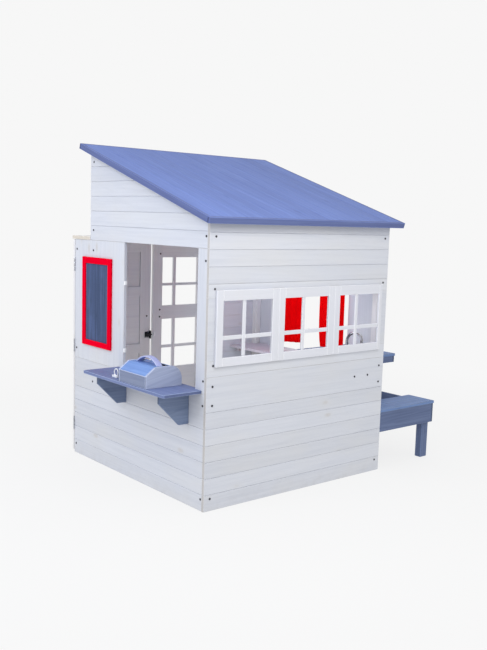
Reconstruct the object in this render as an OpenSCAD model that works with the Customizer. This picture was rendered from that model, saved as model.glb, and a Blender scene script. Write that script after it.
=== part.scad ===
// Children's wooden playhouse: tongue-and-groove walls, mono-pitch roof, serving
// hatch with a toy grill, three muntin windows, a pair of front doors and a
// picnic table with two benches on the far side.
// Millimetres. X runs along the window wall, Y from the window wall to the
// doors, Z up. Origin at the middle of the footprint, on the ground.

/* [House] */
// Width of the window wall
house_w = 1060; // [1000:1:1120]
// Depth under the roof, window wall to front wall
house_d = 935; // [900:1:980]
// Depth of the door bay in front of the front wall
bay_d = 148; // [120:1:170]
// Thickness of the wall boards
wall_t = 14; // [12:0.5:16]
// Visible height of one tongue-and-groove board
board_h = 68.2; // [66:0.1:70]
// Side of the square corner posts
post_w = 32; // [28:1:36]

/* [Roof] */
// Height of the roof underside above the window wall
roof_z = 1181.2; // [1175:0.1:1190]
// Rise of the roof for each unit of depth
roof_rise = 0.3226; // [0.30:0.001:0.34]
// Thickness of the whole roof
roof_t = 26; // [24:0.5:30]
// Overhang on each side
roof_side = 44.5; // [35:0.5:55]
// Overhang over the window wall
roof_low = 46; // [40:1:60]
// Overhang over the front wall
roof_high = 33; // [20:1:40]
// Number of roof boards
roof_boards_n = 12; // [8:1:16]

/* [Windows] */
// Spacing of the three window frames
win_pitch = 333; // [330:0.5:336]
// Width of each glassless opening
win_open_w = 262.5; // [250:0.5:270]
// Bottom of the openings
win_z0 = 632; // [625:1:640]
// Top of the openings
win_z1 = 862; // [850:1:870]
// Thickness of the frames
win_t = 12; // [10:1:14]

/* [Serving side] */
// Near edge of the hatch
hatch_y0 = 74; // [70:1:90]
// Far edge of the hatch
hatch_y1 = 629; // [600:1:640]
// Top of the hatch and of the lower walls
hatch_z1 = 1068.7; // [1060:0.1:1075]
// Height of the shelf and counter tops
shelf_z = 500; // [495:1:505]
// How far the shelf stands out
shelf_out = 185; // [170:1:195]

/* [Picnic side] */
// How far the table and benches stand out
table_out = 413; // [380:1:440]
// Bench height
bench_z = 294; // [285:1:300]
// Bench seat width
bench_w = 166; // [150:1:175]
// Near edge of the table
table_y0 = 272; // [260:1:285]
// Far edge of the table
table_y1 = 642; // [620:1:660]

/* [Doors] */
// Width of the solid leaf
leaf_a_w = 444; // [430:1:446]
// Width of the glazed-pattern leaf
leaf_b_w = 341; // [335:0.5:346]
// Thickness of each leaf
leaf_t = 15; // [13:0.5:16]

/* [Grill] */
// Near end of the toy grill
grill_y0 = 161; // [150:1:180]
// Far end of the toy grill
grill_y1 = 371; // [360:1:385]

/* [Hidden] */
$fn = 48;

white = [0.93, 0.93, 0.92];
blue = [0.42, 0.50, 0.68];
blue_dark = [0.30, 0.36, 0.55];
red = [0.86, 0.06, 0.10];
black = [0.06, 0.06, 0.06];
steel = [0.72, 0.74, 0.76];
slate = [0.13, 0.20, 0.27];

W = house_w; D = house_d; T = wall_t;
DW = D + bay_d;                       // front edge of the door bay walls
bay_w = 800;                          // outer face of the bay's side wall
slope = atan(roof_rise);
eave_y = -roof_low; ridge_y = D + roof_high;
j = 0.15;                             // half of a butt joint
leaf_y = DW + 3;                      // inner face of the door leaves
leaf_y1 = leaf_y + leaf_t;
pivot_y = DW + 1.5;
pivot_x = 3.3;                        // pivot stands this far outside the wall
leaf_z0 = 12; leaf_z1 = hatch_z1 - 3;
cap_y1 = leaf_y1 + 4;

// Footprint limits, used to centre the frame
x_min = -shelf_out; x_max = W + table_out;
y_min = eave_y - roof_t * sin(slope); // the eave board stands square to the slope
y_max = leaf_y1 + 24.1;                // the door knobs reach furthest
ox = (x_min + x_max) / 2;
oy = (y_min + y_max) / 2;

module place() { translate([-ox, -oy, 0]) children(); }
module box(x0, x1, y0, y1, z0, z1) {
  translate([x0, y0, z0]) cube([x1 - x0, y1 - y0, z1 - z0]);
}
// Extrudes a (Y, Z) outline from x0 to x1
module along_x(x0, x1) { translate([x0, 0, 0]) rotate([90, 0, 90]) linear_extrude(x1 - x0) children(); }
// Extrudes an (X, Z) outline from y0 to y1
module along_y(y0, y1) { translate([0, y1, 0]) rotate([90, 0, 0]) linear_extrude(y1 - y0) children(); }

// Section of one board: depth from the outer face, height from its lower edge
function board_pts(h, tongue, groove, c = 1.7) = concat(
  [[0, c], [c, 0]],
  groove ? [[4.8, 0], [4.8, 5.6], [9.2, 5.6], [9.2, 0]] : [],
  [[T, 0], [T, h - 0.4]],
  tongue ? [[8.8, h - 0.4], [8.8, h + 4.6], [5.2, h + 4.6], [5.2, h - 0.4]] : [],
  [[c, h - 0.4], [0, h - 0.4 - c]]);

// A stack of boards running along X; side 1 faces -Y at y, side -1 faces +Y
module boards_x(x0, x1, y, side, z0, z1, tongue_top = false) {
  n = max(1, round((z1 - z0) / board_h));
  h = (z1 - z0) / n;
  for (i = [0:n - 1]) translate([0, y, z0 + i * h])
    along_x(x0, x1) scale([side, 1]) polygon(board_pts(h, i < n - 1 || tongue_top, i > 0));
}
// A stack of boards running along Y; side 1 faces -X at x, side -1 faces +X
module boards_y(y0, y1, x, side, z0, z1, tongue_top = false) {
  n = max(1, round((z1 - z0) / board_h));
  h = (z1 - z0) / n;
  for (i = [0:n - 1]) translate([x, 0, z0 + i * h])
    along_y(y0, y1) scale([side, 1]) polygon(board_pts(h, i < n - 1 || tongue_top, i > 0));
}
function roof_at(y) = roof_z + roof_rise * y;
// Everything under the roof between two heights, as a prism along X
module under_roof(x0, x1, y0, y1, z0) {
  along_x(x0, x1) polygon([[y0, z0], [y1, z0], [y1, roof_at(y1) - 0.4], [y0, roof_at(y0) - 0.4]]);
}
module rrect(w, d, r) {
  union() {
    square([w - 2 * r, d], center = true);
    square([w, d - 2 * r], center = true);
    for (x = [-1, 1], y = [-1, 1]) translate([x * (w / 2 - r), y * (d / 2 - r)]) circle(r);
  }
}

// ---------- Window wall (faces -Y) ----------
rail_z0 = 411.4; rail_z1 = 555; sill_z = 620; head_z = 875; top_z = 929;
module window_wall_lower() place() color(white) {
  boards_x(0, W, 0, 1, 0, rail_z0);
  box(0, W, 0, T, rail_z0 + 0.3, rail_z1 - 0.3);
  box(0, W, 0, T, rail_z1 + 0.3, sill_z);
}
module window_wall_upper() place() color(white) {
  box(0, W, 0, T, head_z, top_z - 0.3);
  boards_x(0, W, 0, 1, top_z, top_z + 3 * board_h);
  along_x(0, W) polygon([[0, top_z + 3 * board_h + 1.7], [1.7, top_z + 3 * board_h],
    [T, top_z + 3 * board_h], [T, roof_at(T) - 0.6], [0, roof_at(0) - 0.6]]);
  // uprights between the openings
  for (m = mull) box(m[0], m[1], 0, T, sill_z + j, head_z - j);
}
win_x = 35.5;
win_stile = 33;
mull = [[0, win_x + 25], [win_x + win_stile + win_open_w + 14, win_x + win_pitch + 25],
  [win_x + win_pitch + win_stile + win_open_w + 14, win_x + 2 * win_pitch + 25],
  [win_x + 2 * win_pitch + win_stile + win_open_w + 14, W]];

// One applied window frame with an off-centre cross, last = width of right stile
module window_frame(i, last) {
  x0 = win_x + i * win_pitch;
  xo = x0 + win_stile; xr = xo + win_open_w; x1 = xr + last;
  zb = win_z0 - 35.5; zt = win_z1 + 43;
  y0 = -win_t; y1 = -0.1;
  box(x0 + j, xo, y0, y1, zb, zt);
  box(xr, x1 - j, y0, y1, zb, zt);
  box(xo + j, xr - j, y0, y1, zb, win_z0);
  box(xo + j, xr - j, y0, y1, win_z1, zt);
  // cross: upright, then the two bars each side of it
  ux = xo + 103; bz = win_z0 + 72;
  box(ux, ux + 17, y0 + 3, y1 - 2, win_z0 + j, win_z1 - j);
  box(xo + j, ux - j, y0 + 3, y1 - 2, bz, bz + 17);
  box(ux + 17 + j, xr - j, y0 + 3, y1 - 2, bz, bz + 17);
}
module window_frame_left() place() color(white) window_frame(0, win_pitch - win_stile - win_open_w);
module window_frame_middle() place() color(white) window_frame(1, win_pitch - win_stile - win_open_w);
module window_frame_right() place() color(white) window_frame(2, 18);

// ---------- Hatch wall (faces -X) ----------
h_rail0 = 343.2; h_rail1 = 486;
module hatch_wall_lower() place() color(white) {
  boards_y(T + 0.3, DW, 0, 1, 0, h_rail0);
  box(0, T, T + 0.3, DW, h_rail0 + 0.3, h_rail1);
}
module hatch_wall_panel() place() color(white) {
  box(0, T, hatch_y1, DW, h_rail1 + 0.3, hatch_z1 - 0.3);
  box(0, T, T + 0.3, hatch_y0, h_rail1 + 0.3, hatch_z1 - 0.3);
}
module hatch_gable() place() color(white) intersection() {
  boards_y(T + 0.3, D, 0, 1, hatch_z1, hatch_z1 + 7 * board_h);
  under_roof(-5, T + 5, T + 0.3, D, hatch_z1 - 1);
}
// ---------- Picnic wall (faces +X) ----------
p_y0 = 228; p_y1 = 724; p_z0 = 507; p_z1 = 1010;
module picnic_wall_lower() place() color(white) {
  boards_y(T + 0.3, D, W, -1, 0, rail_z0);
  box(W - T, W, T + 0.3, D, rail_z0 + 0.3, p_z0);
}
module picnic_wall_sides() place() color(white) {
  box(W - T, W, T + 0.3, p_y0, p_z0 + 0.3, hatch_z1 - 0.3);
  box(W - T, W, p_y1, D, p_z0 + 0.3, hatch_z1 - 0.3);
  box(W - T, W, p_y0 + 0.3, p_y1 - 0.3, p_z1, hatch_z1 - 0.3);
}
module picnic_gable() place() color(white) intersection() {
  boards_y(T + 0.3, D, W, -1, hatch_z1, hatch_z1 + 7 * board_h);
  under_roof(W - T - 5, W + 5, T + 0.3, D, hatch_z1 - 1);
}
// ---------- Front wall (faces +Y) and door bay ----------
module front_wall_lower() place() color(white)
  boards_x(bay_w - T, W - T - 0.3, D, -1, 0, hatch_z1 - 0.3);
module front_wall_upper() place() color(white) intersection() {
  boards_x(T + 0.3, W - T - 0.3, D, -1, hatch_z1, hatch_z1 + 7 * board_h);
  under_roof(T, W - T, D - T - 1, D + 1, hatch_z1 - 1);
}
module bay_side_wall() place() color(white)
  boards_y(D + 0.3, DW, bay_w, -1, 0, hatch_z1 - 0.3);
module bay_cap() place() color(white) {
  box(-4, bay_w + 6, D + 0.3, cap_y1, hatch_z1, hatch_z1 + 17);
  box(T + post_w + 1, bay_w - T - post_w - 1, DW - 20, DW, hatch_z1 - 20, hatch_z1 - 0.2);
}
// Small stops on the far jamb of the hatch
module jamb_blocks() place() color(white)
  for (z = [878, 570]) box(0.2, 11, hatch_y1 - 9.2, hatch_y1 - 0.2, z, z + 18);

// Corner posts, and the sill board across the doorway
module framing_posts() place() color(white) {
  box(T + post_w + 1, bay_w - T - post_w - 1, DW - 34, DW, 0, 20);
  for (x = [T + 0.3, W - T - 0.3 - post_w]) {
    box(x, x + post_w, T + 0.3, T + 0.3 + post_w, 0, roof_at(T) - 1);
    box(x, x + post_w, D - T - 0.3 - post_w, D - T - 0.3, 0, roof_at(D - T - post_w) - 1);
  }
  box(T + 0.3, T + 0.3 + post_w, DW - post_w, DW, 0, hatch_z1 - 0.4);
  box(bay_w - T - 0.3 - post_w, bay_w - T - 0.3, DW - post_w, DW, 0, hatch_z1 - 0.4);
}

// Hex-socket bolt along +Z, head proud by 1.6, shank into the wood
module bolt(shank = 24) {
  difference() {
    cylinder(r = 4.6, h = 1.6);
    translate([0, 0, 0.5]) cylinder(r = 2.3, h = 2, $fn = 6);
  }
  translate([0, 0, -shank]) cylinder(r = 2.5, h = shank + 0.3);
}
bolts_win = [[31, 1117], [31, 910], [31, 602], [31, 517], [31, 439], [31, 52],
  [1030, 1117], [1030, 911], [1030, 516], [1030, 438], [1030, 54], [863, 478], [952, 478]];
bolts_hatch = [[22, 1117], [22, 1020], [22, 539], [22, 438], [22, 50], [905, 1432], [905, 1116],
  [1064, 1021], [905, 1021], [1064, 534], [905, 389], [1064, 48]];
bolts_picnic = [[30, 1117], [30, 1020], [30, 539], [30, 50], [905, 1432], [905, 1116], [905, 1021],
  [905, 539], [905, 50]];
module wall_bolts() place() color(black) {
  for (b = bolts_win) translate([b[0], 0, b[1]]) rotate([90, 0, 0]) bolt();
  for (b = bolts_hatch) translate([0, b[0], b[1]]) rotate([0, -90, 0]) bolt();
  for (b = bolts_picnic) translate([W, b[0], b[1]]) rotate([0, 90, 0]) bolt();
}

// ---------- Roof ----------
u0 = eave_y / cos(slope); u1 = ridge_y / cos(slope);
fas = 14;
module on_roof() { translate([0, 0, roof_z]) rotate([slope, 0, 0]) children(); }
module roof_boards() place() color(blue) on_roof() {
  a = -roof_side + fas + 0.2; b = W + roof_side - fas - 0.2;
  p = (b - a) / roof_boards_n;
  for (i = [0:roof_boards_n - 1])
    translate([a + i * p, 0, roof_t]) along_y(u0 + fas + 0.2, u1 - fas - 0.2)
      polygon(concat([[1.2, 0], [0, -1.2]],
        i > 0 ? [[0, -4], [5.4, -4], [5.4, -8.2], [0, -8.2]] : [],
        [[0, -12.6], [p - 0.4, -12.6]],
        i < roof_boards_n - 1 ? [[p - 0.4, -7.8], [p + 4.4, -7.8], [p + 4.4, -4.4], [p - 0.4, -4.4]] : [],
        [[p - 0.4, -1.2], [p - 1.6, 0]]));
}
module roof_fascia() place() color(blue_dark) on_roof() {
  box(-roof_side, W + roof_side, u0, u0 + fas, 0.4, roof_t);
  box(-roof_side, W + roof_side, u1 - fas, u1, 0.4, roof_t);
  box(-roof_side, -roof_side + fas, u0 + fas + 0.1, u1 - fas - 0.1, 0.4, roof_t);
  box(W + roof_side - fas, W + roof_side, u0 + fas + 0.1, u1 - fas - 0.1, 0.4, roof_t);
}
module roof_purlins() place() color(blue_dark) on_roof()
  for (i = [0:4]) let (u = u0 + fas + 12 + i * (u1 - u0 - 2 * fas - 64) / 4)
    box(-roof_side + fas + 0.2, W + roof_side - fas - 0.2, u, u + 40, 0.4, roof_t - 12.8);

// ---------- Serving shelf, chalkboard ----------
module serving_shelf() place() color(blue) union() {
  translate([0, 0, shelf_z - 13]) linear_extrude(13) difference() {
    union() {
      translate([-shelf_out / 2 - 0.1, 347]) rrect(shelf_out - 0.2, 634, 8);
      translate([-12, 30]) square([11.8, 634]);
      translate([-1, hatch_y0 + 0.6]) square([19, hatch_y1 - hatch_y0 - 1.2]);
    }
  }
}
module shelf_brackets() place() color(blue_dark)
  for (y = [115, 597]) along_y(y, y + 14)
    polygon([[-0.3, shelf_z - 13.2], [-146, shelf_z - 13.2], [-146, 444], [-47, 346], [-0.3, 346]]);

cb = [731, 996, 564, 988]; cb_w = 29;
module chalkboard_frame() place() color(red) {
  box(-10, -0.2, cb[0], cb[0] + cb_w, cb[2], cb[3]);
  box(-10, -0.2, cb[1] - cb_w, cb[1], cb[2], cb[3]);
  box(-10, -0.2, cb[0] + cb_w + j, cb[1] - cb_w - j, cb[2], cb[2] + 26);
  box(-10, -0.2, cb[0] + cb_w + j, cb[1] - cb_w - j, cb[3] - 30, cb[3]);
}
module chalkboard_panel() place() color(slate)
  box(-4, -0.2, cb[0] + cb_w + 0.2, cb[1] - cb_w - 0.2, cb[2] + 26.2, cb[3] - 30.2);

// Wire ring on a foot, for hanging a cloth or a tool beside the grill
module tool_ring() place() color([0.95, 0.95, 0.95]) translate([-147, 444, shelf_z + 0.1]) union() {
  translate([-6, -13, 0]) cube([12, 38, 8]);
  translate([0, 0, 22]) rotate([0, 90, 0]) rotate_extrude() translate([15, 0]) circle(2.0, $fn = 24);
}

// ---------- Toy grill ----------
gz = shelf_z + 51;       // seam between the front board and the lid
gtop = shelf_z + 86;     // top of the end boards
gx0 = -181; gx1 = -5;
ga = -62; gr = 57;       // rounding of the back: centre and radius
gs = gx0 + 45.4;         // top of the sloping front
ge = 9;                  // end board thickness
gi = 1.5;                // lid and hood sit this far inside the end boards
gh0 = grill_y0 + ge; gh1 = grill_y1 - ge;
module end_board() union() {
  polygon([[gx0, shelf_z + 0.2], [gx1, shelf_z + 0.2], [gx1, gtop - gr], [ga, gtop - gr], [ga, gtop], [gs, gtop], [gx0, gz]]);
  translate([ga, gtop - gr]) intersection() {
    circle(gr, $fn = 96);
    translate([-0.5, -0.5]) square(gr + 2);
  }
}
module grill_base() place() color(blue_dark) {
  along_y(grill_y0, gh0) end_board();
  along_y(gh1, grill_y1) end_board();
  box(gx0 + 1, gx0 + 9, gh0 + j, gh1 - j, shelf_z + 0.2, gz - 0.2);
  box(gx1 - 9, gx1 - 1, gh0 + j, gh1 - j, shelf_z + 0.2, gtop - gr - 0.2);
  box(gx0 + 9.2, gx1 - 9.2, gh0 + j, gh1 - j, shelf_z + 0.2, shelf_z + 6.2);
  // ledges under the grate
  for (x = [gx0 + 9.2, gx1 - 14.2]) box(x, x + 5, gh0 + j, gh1 - j, shelf_z + 19, shelf_z + 22.4);
}
// Bent back of the hood: flat behind the hinges, then a quarter round
module grill_hood() place() color(blue) difference() {
  union() {
    box(-79.4, ga, gh0 + 0.4, gh1 - 0.4, gtop - gi - 5, gtop - gi);
    intersection() {
      translate([ga, gh0 + 0.4, gtop - gr]) rotate([-90, 0, 0]) cylinder(r = gr - gi, h = gh1 - gh0 - 0.8, $fn = 96);
      box(ga, ga + 80, gh0, gh1, gtop - gr, gtop + 5);
    }
  }
  translate([ga, gh0 - 1, gtop - gr]) rotate([-90, 0, 0]) cylinder(r = gr - gi - 5, h = gh1 - gh0 + 2, $fn = 96);
}
module grill_grate() place() color(black) union() {
  for (i = [0:8]) translate([gx0 + 9.6, gh0 + 12 + i * (gh1 - gh0 - 24) / 8, shelf_z + 24.4])
    rotate([0, 90, 0]) cylinder(r = 1.8, h = gx1 - gx0 - 19.2, $fn = 20);
  for (x = [gx0 + 40, gx1 - 40]) translate([x, gh0 + 6, shelf_z + 24.4])
    rotate([-90, 0, 0]) cylinder(r = 1.7, h = gh1 - gh0 - 12, $fn = 20);
}
gpx = -80; gpz = gtop - gi + 3;    // lid pivot, over the joint of lid and hood
gh = [gh0 + 4, gh1 - 28];
module grill_hood_hinges() place() color(black) for (y = gh) difference() {
  union() {
    for (k = [0, 16.2]) {
      translate([gpx, y + k, gpz]) rotate([-90, 0, 0]) cylinder(r = 2.9, h = 7.8);
      box(gpx, gpx + 4, y + k, y + k + 7.8, gpz - 2.9, gpz - 1.7);
    }
    box(gpx + 3.4, gpx + 13, y, y + 24, gpz - 2.9, gpz - 1.7);
  }
  translate([gpx, y - 1, gpz]) rotate([-90, 0, 0]) cylinder(r = 1.5, h = 30);
}
module grill_hinge_pins() place() color(steel) for (y = gh)
  translate([gpx, y - 0.6, gpz]) rotate([-90, 0, 0]) cylinder(r = 1.45, h = 25.2);
module grill_lid_hinges() place() color(black) for (y = gh) difference() {
  union() {
    translate([gpx, y + 8, gpz]) rotate([-90, 0, 0]) cylinder(r = 2.9, h = 8);
    box(gpx - 4, gpx, y + 8, y + 16, gpz - 2.9, gpz - 1.7);
    box(gpx - 8, gpx - 3.4, y, y + 24, gpz - 2.9, gpz - 1.7);
  }
  translate([gpx, y - 1, gpz]) rotate([-90, 0, 0]) cylinder(r = 1.5, h = 30);
}
// Lid: sloping front and flat top bent from one board
module grill_lid() place() color(blue) along_y(gh0 + 0.6, gh1 - 0.6)
  polygon([[gx0 + 1.2, gz + 0.3], [gs + 0.5, gtop - gi], [gpx - 0.6, gtop - gi], [gpx - 0.6, gtop - gi - 5],
    [gs + 2.2, gtop - gi - 5], [gx0 + 7.7, gz + 0.3]]);
// Bent strap handle
hx = [-116, -89]; hyc = 259; hR = 115; htop = shelf_z + 117;
module grill_lid_handle() place() color(blue) intersection() {
  translate([hx[1], hyc, htop - hR]) rotate([90, 0, 90]) rotate_extrude($fn = 128)
    translate([hR - 6, -(hx[1] - hx[0])]) square([6, hx[1] - hx[0]]);
  box(hx[0] - 5, hx[1] + 5, hyc - 90, hyc + 90, gtop - gi + 0.1, htop + 20);
}

// ---------- Doors ----------
// Through bolt with its dark head on the inner face
module leaf_bolt(x, z, reach) {
  translate([x, leaf_y - 1.7, z]) rotate([-90, 0, 0]) cylinder(r = 4.6, h = 1.6);
  translate([x, leaf_y - 0.5, z]) rotate([-90, 0, 0]) cylinder(r = 2.4, h = reach);
}
module bolt_hole(x, z) translate([x, leaf_y - 3, z]) rotate([-90, 0, 0]) cylinder(r = 2.5, h = leaf_t + 6);
knob_x = 421; knob_z = 667; pull_x = 503; pull_z = [659, 697]; tie_z = 994;
module door_left_frame() place() color(white) difference() {
  union() door_left_timbers();
  bolt_hole(knob_x, knob_z);
}
module door_left_timbers() {
  x1 = leaf_a_w;
  for (x = [0, x1 - 64]) box(x, x + 64, leaf_y, leaf_y1, leaf_z0, leaf_z1);
  for (r = [[leaf_z0, 90], [473, 521], [775, 823], [1004, leaf_z1]])
    box(64 + j, x1 - 64 - j, leaf_y, leaf_y1, r[0], r[1]);
}
module door_left_panels() place() color(white)
  for (r = [[90, 473], [521, 775], [823, 1004]])
    box(64 + j, leaf_a_w - 64 - j, leaf_y + 5, leaf_y + 11, r[0] + j, r[1] - j);
bx0 = bay_w - leaf_b_w; bx1 = bay_w;
b_st0 = 58.5; b_st = 51;
module door_right_frame() place() color(white) difference() {
  union() door_right_timbers();
  for (z = concat(pull_z, [tie_z])) bolt_hole(pull_x, z);
}
module door_right_timbers() {
  box(bx0, bx0 + b_st0, leaf_y, leaf_y1, leaf_z0, leaf_z1);
  box(bx1 - b_st, bx1, leaf_y, leaf_y1, leaf_z0, leaf_z1);
  for (r = [[leaf_z0, 90], [320, 382], [646, 717.5], [975, leaf_z1]])
    box(bx0 + b_st0 + j, bx1 - b_st - j, leaf_y, leaf_y1, r[0], r[1]);
}
module door_right_muntins() place() color(white)
  for (g = [[382, 646, 489, 15], [717.5, 975, 824, 14]]) {
    ux = bx0 + b_st0 + 71.5;
    box(ux, ux + 17.5, leaf_y + 3, leaf_y + 13, g[0] + j, g[1] - j);
    box(bx0 + b_st0 + j, ux - j, leaf_y + 3, leaf_y + 13, g[2], g[2] + g[3]);
    box(ux + 17.5 + j, bx1 - b_st - j, leaf_y + 3, leaf_y + 13, g[2], g[2] + g[3]);
  }
module door_right_panel() place() color(white)
  box(bx0 + b_st0 + j, bx1 - b_st - j, leaf_y + 5, leaf_y + 11, 90 + j, 320 - j);

// Butt hinges: jamb leaf with two knuckles, door leaf with one, loose pin
hz = [945, 543, 150];
module jamb_leaf() difference() {
  union() {
    box(0.5, 24, -1.45, -0.15, -32, 32);
    for (k = [-32, 11]) {
      box(-pivot_x, 1, -1.45, -0.15, k, k + 21);
      translate([-pivot_x, 0, k]) cylinder(r = 3.1, h = 21);
    }
  }
  translate([-pivot_x, 0, -40]) cylinder(r = 1.6, h = 80);
}
module door_leaf() difference() {
  union() {
    box(0.5, 30, 0.15, 1.45, -32, 32);
    box(-pivot_x, 1, 0.15, 1.45, -10.6, 10.6);
    translate([-pivot_x, 0, -10.6]) cylinder(r = 3.1, h = 21.2);
  }
  translate([-pivot_x, 0, -40]) cylinder(r = 1.6, h = 80);
}
module at_left() { for (z = hz) translate([0, pivot_y, z]) children(); }
module at_right() { for (z = hz) translate([bay_w, pivot_y, z]) mirror([1, 0, 0]) children(); }
module door_left_hinge_leaves() place() color(steel) at_left() door_leaf();
module door_right_hinge_leaves() place() color(steel) at_right() door_leaf();
module door_hinge_jamb_leaves() place() color(steel) { at_left() jamb_leaf(); at_right() jamb_leaf(); }
module door_hinge_pins() place() color(steel) {
  at_left() translate([-pivot_x, 0, -33]) cylinder(r = 1.55, h = 66);
  at_right() translate([-pivot_x, 0, -33]) cylinder(r = 1.55, h = 66);
}
module knob() rotate([-90, 0, 0]) rotate_extrude($fn = 40)
  polygon([[0, 0], [7, 0], [7, 2], [4.5, 4], [4.5, 9], [9, 12], [11, 16], [11, 19], [8.5, 22], [0, 24]]);
module door_left_knob() place() color(black) union() {
  translate([knob_x, leaf_y1 + 0.1, knob_z]) knob();
  leaf_bolt(knob_x, knob_z, leaf_t + 6);
}
// Small pull on the other leaf, held by two bolts, and the bolt of the top rail
module door_right_pull() place() color(black) {
  union() {
    for (z = pull_z) {
      leaf_bolt(pull_x, z, leaf_t + 4);
      translate([pull_x, leaf_y1 + 0.1, z]) rotate([-90, 0, 0]) cylinder(r = 5, h = 15);
    }
    box(pull_x - 6, pull_x + 6, leaf_y1 + 14, leaf_y1 + 22, pull_z[0] - 12, pull_z[1] + 12);
  }
  union() {
    leaf_bolt(pull_x, tie_z, leaf_t + 2);
    translate([pull_x, leaf_y1 + 0.1, tie_z]) rotate([-90, 0, 0]) cylinder(r = 4.6, h = 1.6);
  }
}

// Barrel bolt on the inner faces of the meeting stiles: slotted housing, tall end plate
lz = 568; ly = leaf_y - 7.2;
module door_latch_body() place() color(black) difference() {
  union() {
    box(411, 443.5, leaf_y - 2, leaf_y - 0.1, lz - 15.5, lz + 15.5);
    box(413, 438.5, leaf_y - 13, leaf_y - 1.5, lz - 8, lz + 8);
    box(438, 443.5, leaf_y - 13, leaf_y - 1.5, lz - 21, lz + 21);
  }
  translate([400, ly, lz]) rotate([0, 90, 0]) cylinder(r = 4.06, h = 60);
  box(415, 437.4, ly - 2.6, ly + 2.6, lz, lz + 12);
}
module door_latch_bolt() place() color([0.12, 0.12, 0.12]) union() {
  translate([409, ly, lz]) rotate([0, 90, 0]) cylinder(r = 4, h = 41);
  translate([417.4, ly, lz]) cylinder(r = 2.2, h = 14);
}
module door_latch_keeper() place() color(white) difference() {
  union() {
    box(bx0 + 1.5, bx0 + 13.5, leaf_y - 2, leaf_y - 0.1, lz - 12, lz + 12);
    box(bx0 + 2.5, bx0 + 8.5, leaf_y - 13, leaf_y - 1.5, lz - 9, lz + 9);
  }
  translate([bx0 - 5, ly, lz]) rotate([0, 90, 0]) cylinder(r = 4.4, h = 30);
}

// ---------- Picnic table and benches ----------
px0 = W + 0.3; px1 = W + table_out;
ap = 14;
module bench_seats() place() color(blue) {
  for (y = [0, D - bench_w]) for (k = [0, 1])
    box(px0, px1, y + k * (bench_w / 2 + 0.6), y + (k + 1) * bench_w / 2 - (1 - k) * 0.6, bench_z - 14, bench_z);
}
module bench_frame() place() color(blue_dark) {
  zt = bench_z - 14.2; zb = bench_z - 111;
  for (y = [3, D - 3 - ap]) box(px0, px1 - 3 - ap - 0.2, y, y + ap, zb, zt);
  for (y = [bench_w - 3 - ap, D - bench_w + 3]) box(px0, px1 - 3 - ap - 0.2, y, y + ap, zb, zt);
  box(px1 - 3 - ap, px1 - 3, 3, D - 3, zb, zt);
}
module table_top() place() color(blue)
  for (k = [0:3]) let (p = (table_y1 - table_y0) / 4)
    box(px0, px1, table_y0 + k * p + (k > 0 ? 0.5 : 0), table_y0 + (k + 1) * p - (k < 3 ? 0.5 : 0), shelf_z - 14, shelf_z);
module table_frame() place() color(blue_dark) {
  zt = shelf_z - 14.2; zb = shelf_z - 47;
  for (y = [table_y0 + 3, table_y1 - 3 - ap]) box(px0, px1 - 3 - ap - 0.2, y, y + ap, zb, zt);
  box(px1 - 3 - ap, px1 - 3, table_y0 + 3, table_y1 - 3, zb, zt);
}
module picnic_legs() place() color(blue_dark) {
  for (y = [3 + ap + 0.3, D - 3 - ap - 0.3 - 36]) box(px1 - 67, px1 - 17.5, y, y + 36, 0, bench_z - 14.2);
  box(px1 - 64, px1 - 17.5, (table_y0 + table_y1) / 2 - 23, (table_y0 + table_y1) / 2 + 23, 0, shelf_z - 14.4);
}

// ---------- Curtains, counter, sink ----------
rod_x = W - T - 18; rod_z = 1040;
module curtain_rod() place() color(steel) {
  translate([rod_x, 190, rod_z]) rotate([-90, 0, 0]) cylinder(r = 5, h = 570);
  for (y = [200, 742]) box(rod_x - 5.2, W - T - 0.2, y, y + 8, rod_z - 8.5, rod_z - 4.9);
}
module curtain_left() place() color(red) box(rod_x - 12, rod_x + 12, 226, 412, 542, rod_z - 5.6);
module curtain_right() place() color(red) box(rod_x - 12, rod_x + 12, 538, 720, 542, rod_z - 5.6);

cx0 = 858; sink_c = [946, 158];
ctr_z = shelf_z + 5;                  // counter top
module counter() place() color(white) {
  translate([0, 0, ctr_z - 12]) linear_extrude(12) difference() {
    polygon([[cx0, T + 0.8], [W - T - post_w - 0.8, T + 0.8], [W - T - post_w - 0.8, T + post_w + 0.8],
      [W - T - 0.5, T + post_w + 0.8], [W - T - 0.5, D - T - post_w - 0.8],
      [W - T - post_w - 0.8, D - T - post_w - 0.8], [W - T - post_w - 0.8, D - T - 0.6], [cx0, D - T - 0.6]]);
    translate(sink_c) rrect(127, 141, 22);
  }
  box(cx0, W - T - post_w - 0.8, T + 0.5, T + 20, ctr_z - 36, ctr_z - 12.2);
  box(cx0 + 45, W - T - post_w - 0.8, D - T - 20, D - T - 0.5, ctr_z - 36, ctr_z - 12.2);
}
module sink_basin() place() color(steel) translate([sink_c[0], sink_c[1], 0]) difference() {
  union() {
    translate([0, 0, ctr_z + 0.1]) linear_extrude(2) rrect(142, 156, 26);
    translate([0, 0, ctr_z - 78]) linear_extrude(79) rrect(126, 140, 21.5);
  }
  translate([0, 0, ctr_z - 75]) linear_extrude(90) rrect(120, 134, 18.5);
}
fx = 943; fy = 37; fR = 36; f_turn = -30; fz = ctr_z + 131.6;
module faucet_base() place() color(steel) translate([fx, fy, ctr_z + 0.1]) difference() {
  union() {
    cylinder(r = 13, h = 4);
    cylinder(r = 9.5, h = 14);
  }
  translate([0, 0, 2]) cylinder(r = 7.05, h = 20);
}
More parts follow.
